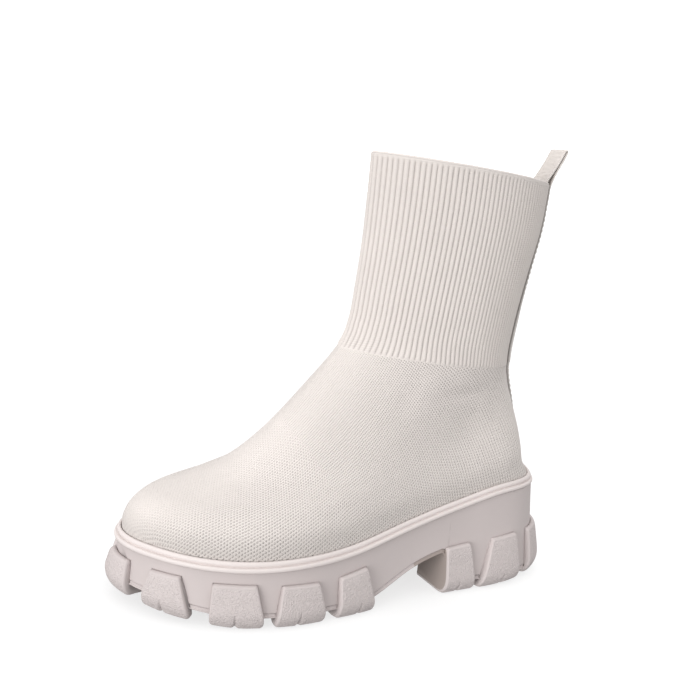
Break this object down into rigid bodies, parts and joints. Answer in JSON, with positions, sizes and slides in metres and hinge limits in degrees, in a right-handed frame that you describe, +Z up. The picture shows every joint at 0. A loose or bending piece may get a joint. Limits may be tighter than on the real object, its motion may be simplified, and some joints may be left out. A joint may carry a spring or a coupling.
{
  "type": "ankle boot",
  "caption": "Left knit ankle boot: hollow sock upper with a ribbed shaft, back tape, pull loop, welt, insole, midsole with arch and raised heel, and a lugged outsole.",
  "frame": {"origin": "middle of the outsole's outline, on the floor", "axes": "+Z up, the toe points to -Y, the outer side of this left boot is +X"},
  "size_m": [0.1139, 0.2706, 0.254],
  "materials": {
    "tread_rubber": "matt, grained, warm beige",
    "sole_foam": "matt, smooth, warm beige",
    "welt_rubber": "matt, smooth, warm beige",
    "lining": "plain cloth",
    "knit": "matt knit, off-white with a pink cast",
    "webbing": "woven tape"
  },
  "bodies": {
    "root": {"outsole": "tread_rubber", "midsole": "sole_foam", "welt": "welt_rubber", "insole": "lining", "upper": "knit", "back_tape": "webbing", "pull_loop": "webbing"}
  },
  "joints": []
}
